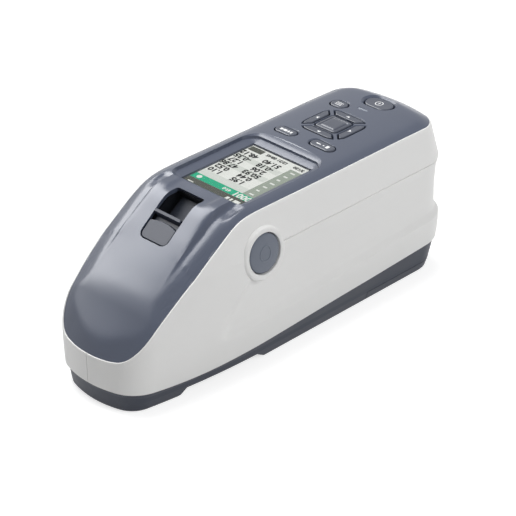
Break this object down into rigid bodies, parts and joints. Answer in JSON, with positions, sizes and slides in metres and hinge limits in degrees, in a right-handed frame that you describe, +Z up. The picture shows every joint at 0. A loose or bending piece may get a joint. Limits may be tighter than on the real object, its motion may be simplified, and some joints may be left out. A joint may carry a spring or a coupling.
{
  "type": "color spectrophotometer",
  "caption": "Handheld color spectrophotometer lying on its base, with a sloping nose, a viewer slide, a screen, a four-way key pad and a round button on each side.",
  "frame": {"origin": "on the rest plane under the middle of the body", "axes": "+X across the body, +Y from the nose to the rear, +Z up"},
  "size_m": [0.081, 0.236, 0.0921],
  "materials": {
    "pale_shell": "fine satin",
    "dark_cover": "satin soft paint",
    "base_plastic": "satin",
    "key_plastic": "satin",
    "button_plastic": "satin",
    "slider_plastic": "satin",
    "tray_plastic": "matte",
    "inner_plastic": "matte",
    "mask_plastic": "matte",
    "foot_rubber": "matte",
    "screen_glass": "polished",
    "screen_panel": "backlit panel",
    "status_lens": "polished",
    "bright_steel": "brushed",
    "chassis_metal": "satin",
    "sphere_white": "matte white coating",
    "board_green": "solder mask",
    "chip_black": "moulded",
    "capacitor_sleeve": "shrunk sleeve",
    "battery_label": "wrapped film",
    "ribbon_film": "film",
    "grating_mirror": "polished"
  },
  "bodies": {
    "housing": {"side_cover_right": "pale_shell", "side_cover_left": "pale_shell", "top_cover": "dark_cover", "base_cover": "base_plastic", "port_panel": "base_plastic", "viewer_tray": "tray_plastic", "viewer_tube": "tray_plastic", "receiving_tube": "tray_plastic", "lcd_frame": "inner_plastic", "battery_holder": "inner_plastic", "spectrometer_case": "inner_plastic", "spectrometer_lid": "inner_plastic", "rubber_feet": "foot_rubber", "display_window": "screen_glass", "viewer_window": "screen_glass", "receiving_lens": "screen_glass", "lcd_module": "screen_panel", "status_light": "status_lens", "case_screws": "bright_steel", "usb_port": "bright_steel", "key_domes": "bright_steel", "battery_contacts": "bright_steel", "chassis": "chassis_metal", "board_standoffs": "chassis_metal", "flash_lamp_right": "chassis_metal", "flash_lamp_left": "chassis_metal", "sphere_lower": "sphere_white", "sphere_upper": "sphere_white", "main_board": "board_green", "key_board": "board_green", "board_components": "chip_black", "ribbon_connectors": "chip_black", "power_jack": "chip_black", "detector_array": "chip_black", "button_switch_right": "chip_black", "button_switch_left": "chip_black", "flash_capacitors": "capacitor_sleeve", "battery_pack": "battery_label", "ribbon_cable": "ribbon_film", "diffraction_grating": "grating_mirror"},
    "viewer_slider": {"viewer_slider": "slider_plastic"},
    "measure_button_right": {"measure_button_right": "button_plastic"},
    "measure_button_left": {"measure_button_left": "button_plastic"},
    "battery_cover": {"battery_cover": "base_plastic"},
    "target_mask": {"target_mask": "mask_plastic"},
    "power_key": {"power_key": "key_plastic"},
    "upper_key": {"upper_key": "key_plastic"},
    "left_key": {"left_key": "key_plastic"},
    "right_key": {"right_key": "key_plastic"},
    "nav_up_key": {"nav_up_key": "key_plastic"},
    "nav_down_key": {"nav_down_key": "key_plastic"},
    "nav_left_key": {"nav_left_key": "key_plastic"},
    "nav_right_key": {"nav_right_key": "key_plastic"},
    "nav_centre_key": {"nav_centre_key": "key_plastic"}
  },
  "joints": [
    {"name": "viewer_slide", "type": "slide", "parent": "housing", "child": "viewer_slider", "axis": [0, 0.8453, 0.5344], "range_m": [0, 0.0155]},
    {"name": "measure_press_right", "type": "slide", "parent": "housing", "child": "measure_button_right", "axis": [-1, 0, 0], "range_m": [0, 0.001], "stiffness_N_per_m": 600, "springref_m": -0.0008},
    {"name": "measure_press_left", "type": "slide", "parent": "housing", "child": "measure_button_left", "axis": [1, 0, 0], "range_m": [0, 0.001], "stiffness_N_per_m": 600, "springref_m": -0.0008},
    {"name": "power_press", "type": "slide", "parent": "housing", "child": "power_key", "axis": [0, 0, -1], "range_m": [0, 0.0006], "stiffness_N_per_m": 500, "springref_m": -0.0006},
    {"name": "upper_press", "type": "slide", "parent": "housing", "child": "upper_key", "axis": [0, 0, -1], "range_m": [0, 0.0006], "stiffness_N_per_m": 500, "springref_m": -0.0006},
    {"name": "left_press", "type": "slide", "parent": "housing", "child": "left_key", "axis": [0, 0, -1], "range_m": [0, 0.0006], "stiffness_N_per_m": 500, "springref_m": -0.0006},
    {"name": "right_press", "type": "slide", "parent": "housing", "child": "right_key", "axis": [0, 0, -1], "range_m": [0, 0.0006], "stiffness_N_per_m": 500, "springref_m": -0.0006},
    {"name": "nav_up_press", "type": "slide", "parent": "housing", "child": "nav_up_key", "axis": [0, 0, -1], "range_m": [0, 0.0006], "stiffness_N_per_m": 500, "springref_m": -0.0006},
    {"name": "nav_down_press", "type": "slide", "parent": "housing", "child": "nav_down_key", "axis": [0, 0, -1], "range_m": [0, 0.0006], "stiffness_N_per_m": 500, "springref_m": -0.0006},
    {"name": "nav_left_press", "type": "slide", "parent": "housing", "child": "nav_left_key", "axis": [0, 0, -1], "range_m": [0, 0.0006], "stiffness_N_per_m": 500, "springref_m": -0.0006},
    {"name": "nav_right_press", "type": "slide", "parent": "housing", "child": "nav_right_key", "axis": [0, 0, -1], "range_m": [0, 0.0006], "stiffness_N_per_m": 500, "springref_m": -0.0006},
    {"name": "nav_centre_press", "type": "slide", "parent": "housing", "child": "nav_centre_key", "axis": [0, 0, -1], "range_m": [0, 0.0006], "stiffness_N_per_m": 500, "springref_m": -0.0006},
    {"name": "battery_cover_slide", "type": "slide", "parent": "housing", "child": "battery_cover", "axis": [0, 1, 0], "range_m": [0, 0.064]},
    {"name": "mask_lift_off", "type": "slide", "parent": "housing", "child": "target_mask", "axis": [0, 0, -1], "range_m": [0, 0.01]}
  ]
}
